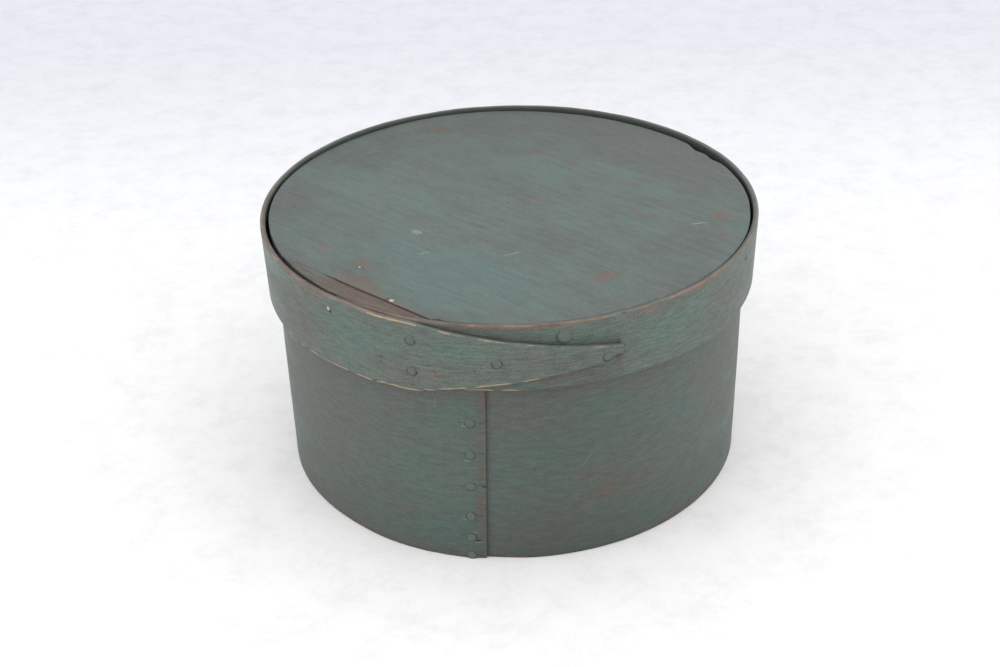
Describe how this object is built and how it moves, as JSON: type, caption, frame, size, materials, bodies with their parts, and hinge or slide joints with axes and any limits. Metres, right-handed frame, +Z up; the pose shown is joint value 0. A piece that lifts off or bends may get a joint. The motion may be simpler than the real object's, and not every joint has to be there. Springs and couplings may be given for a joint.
{
  "type": "round bentwood box",
  "caption": "Round pantry box of thin bent wood in old blue-green paint, with a tacked body seam and a lift-off lid whose band ends in a tapered finger lap.",
  "frame": {"origin": "centre of the round underside, where the box stands", "axes": "+Z up along the axis of the box, -Y out of the front where both laps are, +X to the right seen from the front"},
  "size_m": [0.2466, 0.2487, 0.1328],
  "materials": {
    "body_paint": "thin bent wood in old, matte blue-green paint",
    "lid_paint": "wood in old, worn blue-green paint, a little paler than the body",
    "bare_wood": "bare softwood, darkened with age",
    "worn_wood": "brown wood whose paint is mostly worn away",
    "tack_iron": "dark iron, painted over with the wood and rubbed"
  },
  "bodies": {
    "box": {"body_band": "body_paint", "bottom_board": "bare_wood", "body_seam_tacks": "tack_iron", "bottom_sprigs": "tack_iron"},
    "lid": {"lid_band": "lid_paint", "lid_board": "lid_paint", "lid_board_sliver": "worn_wood", "lid_finger_tacks": "tack_iron", "lid_rim_tack": "tack_iron", "lid_rim_sprigs": "tack_iron"}
  },
  "joints": [
    {"name": "lid_lift", "type": "slide", "parent": "box", "child": "lid", "axis": [0, 0, 1], "range_m": [0, 0.12]}
  ]
}
